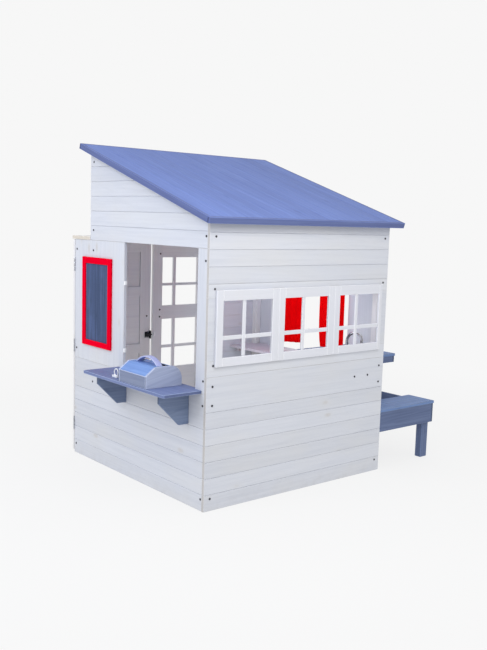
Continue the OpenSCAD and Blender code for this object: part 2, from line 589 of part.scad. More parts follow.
module faucet_spout() place() color(steel) translate([fx, fy, 0]) rotate([0, 0, f_turn]) union() {
  translate([0, 0, ctr_z + 2.3]) cylinder(r = 7, h = fz - ctr_z - 2.3);
  translate([-fR, 0, fz]) rotate([90, 0, 0]) rotate_extrude(angle = 180, $fn = 96)
    translate([fR, 0]) circle(6.4, $fn = 32);
  translate([-2 * fR, 0, fz - 28]) cylinder(r = 7.2, h = 29);
}

window_wall_lower();
window_wall_upper();
window_frame_left();
window_frame_middle();
window_frame_right();
hatch_wall_lower();
hatch_wall_panel();
hatch_gable();
picnic_wall_lower();
picnic_wall_sides();
picnic_gable();
front_wall_lower();
front_wall_upper();
bay_side_wall();
bay_cap();
framing_posts();
wall_bolts();
jamb_blocks();
roof_boards();
roof_fascia();
roof_purlins();
serving_shelf();
shelf_brackets();
chalkboard_frame();
chalkboard_panel();
tool_ring();
grill_base();
grill_hood();
grill_grate();
grill_hood_hinges();
grill_hinge_pins();
grill_lid();
grill_lid_handle();
grill_lid_hinges();
door_left_frame();
door_left_panels();
door_left_hinge_leaves();
door_left_knob();
door_latch_body();
door_latch_bolt();
door_right_frame();
door_right_muntins();
door_right_panel();
door_right_hinge_leaves();
door_right_pull();
door_latch_keeper();
door_hinge_jamb_leaves();
door_hinge_pins();
bench_seats();
bench_frame();
table_top();
table_frame();
picnic_legs();
curtain_rod();
curtain_left();
curtain_right();
counter();
sink_basin();
faucet_base();
faucet_spout();
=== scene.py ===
import math
import random

import bpy
import bmesh
import numpy as np
from mathutils import Matrix, Vector


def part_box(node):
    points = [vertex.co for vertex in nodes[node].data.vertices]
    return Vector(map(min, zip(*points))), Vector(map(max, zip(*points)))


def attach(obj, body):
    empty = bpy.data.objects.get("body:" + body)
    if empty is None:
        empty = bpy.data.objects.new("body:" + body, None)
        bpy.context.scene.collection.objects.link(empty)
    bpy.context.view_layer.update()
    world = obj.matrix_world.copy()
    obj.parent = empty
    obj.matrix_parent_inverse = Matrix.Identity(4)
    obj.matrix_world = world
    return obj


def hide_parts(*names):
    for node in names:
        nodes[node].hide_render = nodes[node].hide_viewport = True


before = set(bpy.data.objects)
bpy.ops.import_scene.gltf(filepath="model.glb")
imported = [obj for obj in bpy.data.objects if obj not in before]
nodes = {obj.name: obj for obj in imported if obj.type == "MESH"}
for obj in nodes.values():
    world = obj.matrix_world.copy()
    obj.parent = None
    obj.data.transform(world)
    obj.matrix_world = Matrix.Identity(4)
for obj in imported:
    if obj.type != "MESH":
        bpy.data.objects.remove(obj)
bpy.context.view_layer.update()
random.seed(7)
rng = np.random.default_rng(7)

# Outer bottom corner of the window wall: positions below are millimetres from it.
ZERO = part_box("window_wall_lower")[0]


def C(x, y, z):
    return Vector((ZERO.x + x / 1000, ZERO.y + y / 1000, ZERO.z + z / 1000))


def lin(r, g, b):
    """sRGB 0-255 to linear."""
    out = []
    for v in (r, g, b):
        v /= 255
        out.append(v / 12.92 if v <= 0.04045 else ((v + 0.055) / 1.055) ** 2.4)
    return (*out, 1.0)


# --------------------------------------------------------------------------- shader graphs


class Graph:
    def __init__(self, name):
        self.mat = bpy.data.materials.new(name)
        self.mat.use_nodes = True
        self.t = self.mat.node_tree
        self.t.nodes.clear()
        self.out = self.t.nodes.new("ShaderNodeOutputMaterial")
        self.bsdf = self.t.nodes.new("ShaderNodeBsdfPrincipled")
        self.t.links.new(self.bsdf.outputs[0], self.out.inputs["Surface"])
        self.coord = self.t.nodes.new("ShaderNodeTexCoord").outputs["Object"]
        self._grain = None

    def put(self, socket, v):
        if isinstance(v, bpy.types.NodeSocket):
            self.t.links.new(v, socket)
        else:
            socket.default_value = v

    def node(self, kind, values=(), **props):
        n = self.t.nodes.new(kind)
        for k, v in props.items():
            setattr(n, k, v)
        for k, v in dict(values).items():
            self.put(n.inputs[k], v)
        return n

    def math(self, op, a, b=0.0, c=0.0, clamp=False):
        return self.node("ShaderNodeMath", {0: a, 1: b, 2: c}, operation=op, use_clamp=clamp).outputs[0]

    def vec(self, op, a, b=(0, 0, 0)):
        n = self.node("ShaderNodeVectorMath", {0: a, 1: b}, operation=op)
        return n.outputs["Value"] if op in ("DOT_PRODUCT", "LENGTH", "DISTANCE") else n.outputs["Vector"]

    def scale(self, a, s):
        return self.node("ShaderNodeVectorMath", {0: a, "Scale": s}, operation="SCALE").outputs["Vector"]

    def noise(self, v, scale=1.0, detail=4.0, rough=0.55, warp=0.0, colour=False):
        n = self.node(
            "ShaderNodeTexNoise",
            {"Vector": v, "Scale": scale, "Detail": detail, "Roughness": rough, "Distortion": warp},
        )
        return n.outputs[1 if colour else 0]

    def cells(self, v, scale=1.0, feature="F1", spread=1.0):
        return self.node(
            "ShaderNodeTexVoronoi", {"Vector": v, "Scale": scale, "Randomness": spread}, feature=feature
        ).outputs

    def span(self, v, a, b, lo=0.0, hi=1.0, smooth=False):
        n = self.node(
            "ShaderNodeMapRange", {"Value": v, "From Min": a, "From Max": b, "To Min": lo, "To Max": hi}
        )
        n.interpolation_type = "SMOOTHSTEP" if smooth else "LINEAR"
        return n.outputs[0]

    def mix(self, f, a, b, blend="MIX"):
        n = self.node("ShaderNodeMix", {0: f, 6: a, 7: b}, data_type="RGBA", blend_type=blend)
        return n.outputs[2]

    def attr(self, name, out="Fac"):
        return self.node("ShaderNodeAttribute", attribute_name=name, attribute_type="GEOMETRY").outputs[out]

    def normal(self):
        return self.node("ShaderNodeNewGeometry").outputs["Normal"]

    def board(self, across, along, shift=1.0):
        """Object space squeezed along each board's own grain, and moved on for each board."""
        if self._grain is None:
            axis = self.attr("grain", "Vector")
            self._grain = (axis, self.vec("DOT_PRODUCT", self.coord, axis), self.attr("pid"))
        axis, d, pid = self._grain
        v = self.vec(
            "ADD", self.scale(self.coord, across), self.scale(axis, self.math("MULTIPLY", d, along - across))
        )
        return self.vec("ADD", v, self.scale((31.7, 17.3, 53.1), self.math("MULTIPLY", pid, shift)))

    def end_face(self):
        """1 where a face looks along its board's grain."""
        self.board(1, 1)
        n = self.node("ShaderNodeVectorTransform", {0: self.normal()}, vector_type="NORMAL", convert_from="WORLD", convert_to="OBJECT")
        a = self.math("ABSOLUTE", self.vec("DOT_PRODUCT", n.outputs[0], self._grain[0]))
        return self.span(a, 0.90, 0.97)

    def end_rings(self):
        axis, d, pid = self._grain
        flat = self.vec("SUBTRACT", self.coord, self.scale(axis, d))
        heart = self.scale((0.9, 0.7, -1.3), self.math("ADD", 0.03, self.math("MULTIPLY", pid, 0.11)))
        r = self.vec("LENGTH", self.vec("SUBTRACT", flat, heart))
        wob = self.noise(flat, 60.0, 3.0)
        return self.math("SINE", self.math("ADD", self.math("MULTIPLY", r, 1500.0), self.math("MULTIPLY", wob, 5.0)))

    def bump(self, height, strength, distance, normal=None):
        v = {"Height": height, "Strength": strength, "Distance": distance}
        if normal is not None:
            v["Normal"] = normal
        return self.node("ShaderNodeBump", v).outputs[0]

    def done(self, **sockets):
        for k, v in sockets.items():
            self.put(self.bsdf.inputs[k.replace("_", " ")], v)
        return self.mat


def knots(g, size=1.0, rare=0.62):
    """(mask 0-1, rings) of small knots, lengthened along the grain."""
    v = g.board(11.0 / size, 5.0 / size, 1.0)
    c = g.cells(v, 1.0)
    bent = g.math("ADD", c["Distance"], g.math("MULTIPLY", g.math("SUBTRACT", g.noise(v, 4.0, 2.0), 0.5), 0.06))
    pick = g.span(g.node("ShaderNodeSeparateColor", {0: c["Color"]}).outputs[0], rare, rare + 0.02)
    core = g.math("MULTIPLY", g.span(bent, 0.16, 0.05, smooth=True), pick)
    halo = g.math("MULTIPLY", g.span(bent, 0.34, 0.12, smooth=True), pick)
    return core, halo, bent


def painted_wood(
    name, base, warm, dark, rough=0.5, show=1.0, knot=0.5, relief=1.0, edge=None, boards=0.03, end=(0.80, 0.72, 0.60, 1), spec=0.35
):
    """Opaque satin paint on planed softwood: the grain telegraphs through, knots bleed a little, each board its own tone."""
    g = Graph(name)
    streak = g.noise(g.board(70, 2.2), 1.0, 5.0, 0.6, 0.25)
    fibre = g.noise(g.board(480, 10), 1.0, 3.0, 0.5)
    cloud = g.noise(g.board(7, 3), 1.0, 3.0, 0.5)
    core, halo, bent = knots(g)
    rings = g.math("SINE", g.math("ADD", g.math("MULTIPLY", g.noise(g.board(26, 0.9), 1.0, 2.0, 0.4, 0.6), 46.0), 0.0))
    tone = g.math(
        "ADD",
        g.math("MULTIPLY", g.span(streak, 0.35, 0.75, smooth=True), 0.55 * show),
        g.math("MULTIPLY", g.span(rings, 0.2, 1.0, smooth=True), 0.22 * show),
    )
    tone = g.math("ADD", tone, g.math("MULTIPLY", g.span(fibre, 0.45, 0.8), 0.16 * show), clamp=True)
    col = g.mix(tone, base, dark)
    col = g.mix(g.span(cloud, 0.45, 0.75, 0.0, 0.55 * show), col, warm)
    # each board a little lighter or darker
    pid = g._grain[2]
    lift = g.math("ADD", 1.0 - boards, g.math("MULTIPLY", g.math("FRACT", g.math("MULTIPLY", pid, 7.31)), 2 * boards))
    col = g.mix(1.0, col, g.node("ShaderNodeCombineColor", {0: lift, 1: lift, 2: lift}).outputs[0], "MULTIPLY")
    if knot:
        tint = tuple(a * b for a, b in zip(base[:3], (0.80, 0.72, 0.60))) + (1,)
        col = g.mix(g.math("MULTIPLY", halo, 0.30 * knot), col, warm)
        col = g.mix(g.math("MULTIPLY", core, 0.75 * knot), col, tint)
    ends = g.end_face()
    er = g.span(g.end_rings(), -1.0, 1.0)
    endc = tuple(a * b for a, b in zip(base[:3], end[:3])) + (1,)
    endd = tuple(a * 0.82 for a in endc[:3]) + (1,)
    col = g.mix(g.math("MULTIPLY", ends, 0.65), col, g.mix(er, endc, endd))
    # darker in patches towards the bottom, below 7 cm
    low = g.node("ShaderNodeSeparateXYZ", {0: g.coord}).outputs[2]
    low_darkening = g.math("MULTIPLY", g.span(low, 0.07, 0.0), g.span(g.noise(g.coord, 22.0, 4.0, 0.65), 0.42, 0.75))
    col = g.mix(g.math("MULTIPLY", low_darkening, 0.16), col, lin(150, 142, 130))
    h = g.math("ADD", g.math("MULTIPLY", streak, 1.0), g.math("MULTIPLY", fibre, 0.35))
    h = g.math("SUBTRACT", h, g.math("MULTIPLY", core, 0.5))
    h = g.math("ADD", h, g.math("MULTIPLY", g.noise(g.coord, 260.0, 2.0), 0.18))
    nrm = g.bump(h, 0.55 * relief, 0.0006)
    r = g.math("ADD", rough - 0.06, g.math("MULTIPLY", streak, 0.14))
    return g.done(Base_Color=col, Roughness=r, Normal=nrm, Specular_IOR_Level=spec)


def stained_wood(name, light, mid, deep, rough=0.6, relief=1.0, contrast=1.0, pale=0.25, knot=1.0, front=None):
    """Semi-transparent stain: strong streaks with the grain, darker late wood, rubbed pale patches."""
    g = Graph(name)
    streak = g.noise(g.board(95, 1.8), 1.0, 6.0, 0.62, 0.3)
    fibre = g.noise(g.board(620, 12), 1.0, 3.0, 0.55)
    cloud = g.noise(g.board(5.5, 2.2), 1.0, 4.0, 0.6)
    late = g.math("SINE", g.math("MULTIPLY", g.noise(g.board(22, 0.8), 1.0, 2.0, 0.4, 0.7), 60.0))
    core, halo, bent = knots(g, 1.1, 0.66)
    col = g.mix(g.span(streak, 0.36, 0.68, smooth=True), mid, light)
    col = g.mix(g.math("MULTIPLY", g.span(late, 0.35, 1.0, smooth=True), 0.35 * contrast), col, deep)
    col = g.mix(g.math("MULTIPLY", g.span(fibre, 0.5, 0.8), 0.30 * contrast), col, deep)
    rub = g.math("MULTIPLY", g.span(cloud, 0.50, 0.78, smooth=True), g.span(streak, 0.42, 0.62))
    col = g.mix(g.math("MULTIPLY", rub, pale), col, tuple(min(1, c * 1.35 + 0.03) for c in light[:3]) + (1,))
    pid = g._grain[2]
    lift = g.math("ADD", 0.95, g.math("MULTIPLY", g.math("FRACT", g.math("MULTIPLY", pid, 5.77)), 0.10))
    col = g.mix(1.0, col, g.node("ShaderNodeCombineColor", {0: lift, 1: lift, 2: lift}).outputs[0], "MULTIPLY")
    col = g.mix(g.math("MULTIPLY", halo, 0.25 * knot), col, deep)
    col = g.mix(g.math("MULTIPLY", core, 0.6 * knot), col, tuple(c * 0.45 for c in deep[:3]) + (1,))
    ends = g.end_face()
    er = g.span(g.end_rings(), -1.0, 1.0)
    col = g.mix(g.math("MULTIPLY", ends, 0.75), col, g.mix(er, deep, tuple(c * 0.6 for c in deep[:3]) + (1,)))
    if front:
        # painted shade: faces looking along -X are multiplied by this darker tone, standing in for the shade on that
        # side
        n = g.node("ShaderNodeVectorTransform", {0: g.normal()}, vector_type="NORMAL", convert_from="WORLD", convert_to="OBJECT")
        painted_shade_side = g.span(g.vec("DOT_PRODUCT", n.outputs[0], (-1.0, 0.0, 0.0)), 0.8, 0.95)
        col = g.mix(painted_shade_side, col, g.mix(1.0, col, (*front, 1), "MULTIPLY"))
    h = g.math("ADD", streak, g.math("MULTIPLY", fibre, 0.55))
    h = g.math("ADD", h, g.math("MULTIPLY", g.noise(g.coord, 300.0, 2.0), 0.2))
    nrm = g.bump(h, 0.7 * relief, 0.0007)
    r = g.math("ADD", rough - 0.08, g.math("MULTIPLY", streak, 0.18))
    return g.done(Base_Color=col, Roughness=r, Normal=nrm, Specular_IOR_Level=0.3)


def metal(name, base, rough, metallic=1.0, grain=0.0, pits=0.3, dark_reflection_bands=False):
    g = Graph(name)
    spots = g.noise(g.coord, 900.0, 3.0, 0.6)
    wear = g.noise(g.coord, 60.0, 4.0, 0.6)
    dull = tuple(c * 0.78 for c in base[:3]) + (1,)
    col = g.mix(g.span(wear, 0.35, 0.75), base, dull)
    if dark_reflection_bands:
        # painted reflections: dark bands on the tube, set by which way its surface faces, stand in for dark
        # surroundings mirrored in the chrome
        t = g.vec("DOT_PRODUCT", g.normal(), (-0.80, -0.30, -0.52))
        reflected_dark = g.math("MULTIPLY", g.span(t, 0.42, 0.55, smooth=True), g.span(t, 0.84, 0.72, smooth=True))
        t = g.vec("DOT_PRODUCT", g.normal(), (0.75, -0.55, -0.36))
        reflected_dark_2 = g.math("MULTIPLY", g.span(t, 0.20, 0.45, smooth=True), g.span(t, 0.95, 0.70, smooth=True))
        col = g.mix(g.math("ADD", g.math("MULTIPLY", reflected_dark, 0.85), g.math("MULTIPLY", reflected_dark_2, 0.35), clamp=True), col, (0.05, 0.05, 0.07, 1))
    r = g.math("ADD", rough - 0.05, g.math("MULTIPLY", wear, 0.14))
    h = spots
    if grain:
        brushed = g.noise(g.vec("MULTIPLY", g.coord, (40.0, 1600.0, 1600.0)), 1.0, 2.0)
        h = g.math("ADD", g.math("MULTIPLY", brushed, grain), g.math("MULTIPLY", spots, 0.3))
    return g.done(Base_Color=col, Roughness=r, Metallic=metallic, Normal=g.bump(h, pits, 0.0002))


def plastic(name, base, rough):
    g = Graph(name)
    skin = g.noise(g.coord, 1400.0, 2.0, 0.5)
    cloud = g.noise(g.coord, 25.0, 3.0)
    col = g.mix(g.span(cloud, 0.3, 0.8), base, tuple(c * 0.86 for c in base[:3]) + (1,))
    return g.done(Base_Color=col, Roughness=rough, Normal=g.bump(skin, 0.25, 0.0001), Specular_IOR_Level=0.45)


def chalk_paint(name):
    """Matt blue-black board with vertical wiping marks and a little chalk dust."""
    g = Graph(name)
    base, pale = lin(62, 76, 106), lin(82, 98, 138)
    wipe = g.noise(g.vec("MULTIPLY", g.coord, (1.0, 62.0, 3.2)), 1.0, 5.0, 0.6, 0.5)
    blot = g.noise(g.coord, 13.0, 4.0, 0.6)
    dust = g.noise(g.coord, 900.0, 3.0, 0.7)
    col = g.mix(g.span(wipe, 0.36, 0.74, smooth=True), base, pale)
    col = g.mix(g.span(blot, 0.52, 0.75, 0.0, 0.40), col, lin(52, 68, 90))
    col = g.mix(g.span(dust, 0.60, 0.85, 0.0, 0.25), col, lin(150, 160, 178))
    return g.done(Base_Color=col, Roughness=0.86, Normal=g.bump(g.math("ADD", wipe, g.math("MULTIPLY", dust, 0.6)), 0.4, 0.0003), Specular_IOR_Level=0.2)


def cloth(name):
    """Plain-woven red cotton: warp and weft 0.55 mm apart, slubs, and light that comes through."""
    g = Graph(name)
    uv = g.attr("flat", "Vector")
    s = g.node("ShaderNodeSeparateXYZ", {0: uv}).outputs
    warp = g.math("SINE", g.math("MULTIPLY", s[0], 2 * math.pi / 0.0011))
    weft = g.math("SINE", g.math("MULTIPLY", s[1], 2 * math.pi / 0.0011))
    weave = g.math("MULTIPLY", warp, weft)
    slub = g.noise(g.vec("MULTIPLY", uv, (900.0, 40.0, 1.0)), 1.0, 3.0, 0.6)
    slub2 = g.noise(g.vec("MULTIPLY", uv, (40.0, 900.0, 1.0)), 1.0, 3.0, 0.6)
    cloud = g.noise(uv, 9.0, 3.0, 0.5)
    red, deep, lightr = lin(252, 3, 12), lin(228, 1, 8), lin(255, 14, 24)
    col = g.mix(g.span(g.math("ADD", slub, slub2), 0.8, 1.3), red, deep)
    col = g.mix(g.span(weave, 0.3, 1.0, 0.0, 0.35), col, lightr)
    col = g.mix(g.span(cloud, 0.45, 0.75, 0.0, 0.3), col, deep)
    h = g.math("ADD", weave, g.math("MULTIPLY", slub, 0.8))
    mat = g.done(
        Base_Color=col, Roughness=0.92, Sheen_Weight=0.0,
        Normal=g.bump(h, 0.5, 0.00025), Specular_IOR_Level=0.03,
    )
    thin = g.node("ShaderNodeBsdfTranslucent", {"Color": col})
    both = g.node("ShaderNodeMixShader", {0: 0.45, 1: g.bsdf.outputs[0], 2: thin.outputs[0]})
    g.t.links.new(both.outputs[0], g.out.inputs["Surface"])
    return mat


WALL = painted_wood("paint_wall", lin(201, 204, 212), lin(203, 203, 203), lin(187, 191, 201), 0.55, 0.8, 0.55, spec=0.28)
# worn paint and painted highlight: the walls' bevelled edges are warmer and a little lighter than the faces
WALL_EDGE_WEAR_HIGHLIGHT = painted_wood("paint_wall_edge", lin(210, 211, 214), lin(207, 204, 199), lin(196, 196, 198), 0.5, 0.8, 0.15)
FRAME = painted_wood("paint_frames", lin(208, 210, 218), lin(209, 209, 211), lin(199, 202, 210), 0.5, 0.7, 0.12, 0.8, boards=0.015, spec=0.25)
# painted highlight: lighter paint on the bevelled edges of the window frames and doors
FRAME_EDGE_HIGHLIGHT = painted_wood("paint_frames_edge", lin(228, 230, 236), lin(227, 227, 228), lin(221, 223, 230), 0.42, 0.6, 0.0, 0.8)
DOOR = painted_wood("paint_doors", lin(222, 221, 223), lin(222, 219, 214), lin(209, 208, 214), 0.5, 0.8, 0.3, 0.9)
POST = painted_wood("paint_posts", lin(218, 217, 219), lin(217, 213, 205), lin(204, 203, 208), 0.6, 1.0, 0.4, 1.2)
CAP = painted_wood("paint_cap", lin(226, 224, 221), lin(223, 218, 210), lin(212, 209, 204), 0.6, 1.0, 0.3, 1.2)
# painted reflection: the counter's white paint is tinted pink-mauve for red light bounced from the curtains
COUNTER_PINK_BOUNCE = painted_wood("paint_counter", lin(207, 200, 208), lin(204, 196, 200), lin(193, 186, 196), 0.45, 0.8, 0.2, 0.8)
# painted highlight: the counter's bevelled edges, its lit front edge among them, are much lighter than its top
COUNTER_EDGE_HIGHLIGHT = painted_wood("paint_counter_edge", lin(238, 236, 246), lin(236, 234, 240), lin(228, 226, 238), 0.4, 0.6, 0.0, 0.8)
ROOF = stained_wood("stain_roof", lin(104, 125, 184), lin(92, 112, 172), lin(77, 95, 154), 0.62, 1.1, 0.8, 0.30, 0.35)
ROOF_EDGE = stained_wood("stain_roof_edge", lin(101, 118, 174), lin(89, 105, 160), lin(76, 92, 143), 0.6, 1.0, 0.6, 0.25, 0.0)
FASCIA = stained_wood("stain_fascia", lin(92, 105, 150), lin(82, 94, 140), lin(68, 78, 122), 0.6, 1.0, 0.7, 0.2, 0.3)
PURLIN = stained_wood("stain_purlins", lin(100, 112, 168), lin(86, 98, 152), lin(66, 78, 130), 0.66, 1.2, 1.0, 0.15, 0.8)
BLUE = stained_wood("stain_blue", lin(116, 129, 170), lin(102, 115, 157), lin(84, 97, 138), 0.55, 1.0, 0.7, 0.3, 0.5)
# worn stain and painted highlight: lighter edges on the serving shelf
BLUE_EDGE_WEAR_HIGHLIGHT = stained_wood("stain_blue_edge", lin(155, 170, 200), lin(135, 150, 186), lin(106, 123, 162), 0.55, 0.8, 0.5, 0.4, 0.0)
DEEP = stained_wood("stain_deep", lin(95, 109, 142), lin(82, 96, 130), lin(63, 77, 108), 0.58, 1.0, 0.8, 0.2, 0.6)
# worn stain and painted highlight: lighter edges on the brackets, bench and table frames and legs
DEEP_EDGE_WEAR_HIGHLIGHT = stained_wood("stain_deep_edge", lin(112, 128, 162), lin(96, 112, 148), lin(74, 90, 126), 0.55, 0.8, 0.5, 0.3, 0.0)
RED = painted_wood("paint_red", lin(228, 2, 38), lin(220, 2, 35), lin(210, 1, 32), 0.62, 0.7, 0.1, 0.8, end=(0.8, 0.7, 0.7, 1), spec=0.0)
BRACKET = stained_wood("stain_brackets", lin(124, 138, 164), lin(107, 122, 151), lin(83, 98, 126), 0.58, 1.0, 0.7, 0.2, 0.4)
BENCH = stained_wood("stain_bench", lin(106, 131, 176), lin(93, 117, 163), lin(76, 98, 143), 0.55, 1.0, 0.7, 0.25, 0.5)
BENCH_EDGE = stained_wood("stain_bench_edge", lin(112, 130, 160), lin(98, 116, 148), lin(78, 96, 130), 0.55, 0.8, 0.5, 0.3, 0.0)
LID = stained_wood("stain_lid", lin(118, 150, 206), lin(105, 137, 196), lin(88, 118, 178), 0.5, 1.0, 0.6, 0.3, 0.2)
STRAP = stained_wood("stain_strap", lin(172, 176, 216), lin(160, 166, 210), lin(142, 148, 196), 0.5, 0.8, 0.5, 0.3, 0.0)
# painted shade: the grill's faces looking along -X are darkened by the front tone
GRILL = stained_wood("stain_grill", lin(173, 183, 207), lin(160, 170, 197), lin(137, 149, 179), 0.55, 0.9, 0.6, 0.3, 0.2, front=(0.50, 0.52, 0.57))
# worn stain and painted highlight: pale edges on the grill
PALE_EDGE_WEAR_HIGHLIGHT = stained_wood("stain_pale_edge", lin(198, 206, 228), lin(184, 194, 220), lin(160, 172, 204), 0.55, 0.7, 0.4, 0.4, 0.0)
RED_EDGE = painted_wood("paint_red_edge", lin(236, 6, 36), lin(232, 4, 32), lin(224, 2, 28), 0.5, 0.5, 0.0, 0.8, spec=0.03)
CHALK = chalk_paint("chalkboard_paint")
BLACK = metal("black_zinc", (0.022, 0.022, 0.026, 1), 0.42, 0.55, 0.0, 0.4)
BOLT = metal("bolt_zinc", (0.055, 0.055, 0.065, 1), 0.38, 0.7, 0.0, 0.3)
ZINC = metal("zinc_pins", (0.62, 0.63, 0.66, 1), 0.3, 1.0, 0.5, 0.3)
# painted reflection: dark bands along the spout's tube
CHROME = metal("chrome_spout", (0.86, 0.87, 0.90, 1), 0.10, 1.0, 0.0, 0.05, dark_reflection_bands=True)
SINK = metal("sink_brushed", (0.68, 0.70, 0.72, 1), 0.28, 1.0, 1.0, 0.35)
WHITE_P = plastic("white_moulded", lin(242, 243, 245), 0.35)
BLACK_P = plastic("black_moulded", lin(34, 34, 38), 0.4)
CLOTH = cloth("red_cotton")


# --------------------------------------------------------------------------- CAD nodes


def parts_of(me):
    """Label of each vertex's separate solid, by shared positions and faces."""
    co = np.zeros(len(me.vertices) * 3)
    me.vertices.foreach_get("co", co)
    co = co.reshape(-1, 3)
    _, same = np.unique(np.round(co, 6), axis=0, return_inverse=True)
    same = same.reshape(-1)
    loops = np.zeros(len(me.loops), int)
    me.loops.foreach_get("vertex_index", loops)
    starts = np.array([p.loop_start for p in me.polygons])
    totals = np.array([p.loop_total for p in me.polygons])
    face = np.repeat(np.arange(len(starts)), totals)
    lab = np.arange(same.max() + 1)
    where = same[loops]
    for _ in range(400):
        low = np.full(len(starts), len(lab))
        np.minimum.at(low, face, lab[where])
        new = lab.copy()
        np.minimum.at(new, where, low[face])
        new = new[new]
        if (new == lab).all():
            break
        lab = new
    return co, lab[same], lab[where[np.searchsorted(face, np.arange(len(starts)))]]


def mark_boards(o, axis=None):
    """Stores on each face its board's grain direction and a number for that board."""
    me = o.data
    co, v_lab, f_lab = parts_of(me)
    ids = {}
    grain = np.zeros((len(me.polygons), 3))
    pid = np.zeros(len(me.polygons))
    for k, part in enumerate(np.unique(f_lab)):
        p = np.unique(np.round(co[v_lab == part], 6), axis=0)
        if axis is not None:
            a = np.array(axis, float)
        else:
            q = p - (p.min(0) + p.max(0)) / 2
            w, e = np.linalg.eigh(q.T @ q)
            a = e[:, -1]
            if abs(a).max() > 0.985:
                a = np.eye(3)[abs(a).argmax()]
            a = a * np.sign(a[abs(a).argmax()])
        grain[f_lab == part] = a
        pid[f_lab == part] = (k * 0.618034 + len(o.name) * 0.137) % 1.0 + 0.01
    att = me.attributes.new("grain", "FLOAT_VECTOR", "FACE")
    att.data.foreach_set("vector", grain.ravel())
    att = me.attributes.new("pid", "FLOAT", "FACE")
    att.data.foreach_set("value", pid)


def dress(names, main, edge=None, round_mm=0.8, steps=2, axis=None, angle=50):
    for n in names.split():
        o = nodes[n]
        o.data.materials.clear()
        o.data.materials.append(main)
        if edge is not None:
            o.data.materials.append(edge)
        mark_boards(o, axis)
        if round_mm:
            w = o.modifiers.new("weld", "WELD")
            w.merge_threshold = 0.00002
            d = o.modifiers.new("flats", "DECIMATE")
            d.decimate_type = "DISSOLVE"
            d.angle_limit = math.radians(0.4)
            b = o.modifiers.new("rounding", "BEVEL")
            b.width = round_mm / 1000
            b.segments = steps
            b.limit_method = "ANGLE"
            b.angle_limit = math.radians(angle)
            b.use_clamp_overlap = True
            b.harden_normals = True
            if edge is not None:
                b.material = 1


Z = (0, 0, 1)
X = (1, 0, 0)
Y = (0, 1, 0)
dress("window_wall_lower front_wall_lower front_wall_upper", WALL, WALL_EDGE_WEAR_HIGHLIGHT, 0.7, axis=X)
dress("window_wall_upper", WALL, WALL_EDGE_WEAR_HIGHLIGHT, 0.7, axis=X)
dress("hatch_wall_lower hatch_gable picnic_wall_lower picnic_gable bay_side_wall", WALL, WALL_EDGE_WEAR_HIGHLIGHT, 0.7, axis=Y)
dress("hatch_wall_panel picnic_wall_sides", WALL, WALL_EDGE_WEAR_HIGHLIGHT, 1.2, axis=Z)
dress("window_frame_left window_frame_middle window_frame_right", FRAME, FRAME_EDGE_HIGHLIGHT, 1.6, 3)
dress("framing_posts", POST, POST, 1.5)
dress("bay_cap", CAP, CAP, 1.5)
dress("door_left_frame door_left_panels door_right_frame door_right_muntins door_right_panel", DOOR, FRAME_EDGE_HIGHLIGHT, 1.2)
dress("roof_boards", ROOF, ROOF_EDGE, 0.8)
dress("roof_fascia", FASCIA, ROOF_EDGE, 1.8, 3)
dress("roof_purlins", PURLIN, PURLIN, 1.5)
dress("serving_shelf", BLUE, BLUE_EDGE_WEAR_HIGHLIGHT, 1.6, 3, axis=Y)
dress("shelf_brackets", BRACKET, DEEP_EDGE_WEAR_HIGHLIGHT, 1.4, 3, axis=X)
dress("chalkboard_frame", RED, RED_EDGE, 1.6, 3)
dress("chalkboard_panel", CHALK, None, 0.4, 1, axis=Z)
dress("grill_base", GRILL, PALE_EDGE_WEAR_HIGHLIGHT, 1.4, 3)
dress("grill_lid", LID, PALE_EDGE_WEAR_HIGHLIGHT, 1.2, 3, axis=Y, angle=60)
dress("grill_hood", LID, PALE_EDGE_WEAR_HIGHLIGHT, 1.2, 3, axis=Y, angle=60)
dress("grill_lid_handle", STRAP, PALE_EDGE_WEAR_HIGHLIGHT, 1.4, 3, axis=Y, angle=60)
dress("jamb_blocks door_latch_keeper", WHITE_P, None, 0.6, 3, angle=60)
dress("bench_seats table_top", BENCH, BENCH_EDGE, 1.8, 3, axis=X)
dress("bench_frame table_frame", DEEP, DEEP_EDGE_WEAR_HIGHLIGHT, 1.8, 3)
dress("picnic_legs", DEEP, DEEP_EDGE_WEAR_HIGHLIGHT, 3.0, 3, axis=Z)
dress("counter", COUNTER_PINK_BOUNCE, COUNTER_EDGE_HIGHLIGHT, 1.6, 3, axis=Y, angle=60)
dress("tool_ring", WHITE_P, None, 0.5)
dress("wall_bolts", BOLT, None, 0.25, 2, angle=60)
dress("grill_grate", BLACK, None, 0)
dress("grill_hood_hinges grill_lid_hinges door_latch_body door_latch_bolt door_right_pull", BLACK, None, 0.3, 2, angle=60)
dress("door_left_hinge_leaves door_right_hinge_leaves door_hinge_jamb_leaves", ZINC, None, 0.25, 2, angle=60)
dress("door_left_knob", BLACK_P, None, 0.3, 2, angle=60)
dress("grill_hinge_pins door_hinge_pins", ZINC, None, 0.2, 2, angle=60)
dress("curtain_rod", WHITE_P, None, 0.4, 2, angle=60)
dress("sink_basin", SINK, None, 0.9, 3, angle=50)
dress("faucet_base faucet_spout", CHROME, None, 0.5, 3, angle=50)


# --------------------------------------------------------------------------- made pieces


def mesh_object(name, verts, faces, material, smooth=True):
    me = bpy.data.meshes.new(name)
    me.from_pydata([tuple(v) for v in verts], [], faces)
    me.materials.append(material)
    for p in me.polygons:
        p.use_smooth = smooth
    me.update()
    o = bpy.data.objects.new(name, me)
    bpy.context.scene.collection.objects.link(o)
    return o


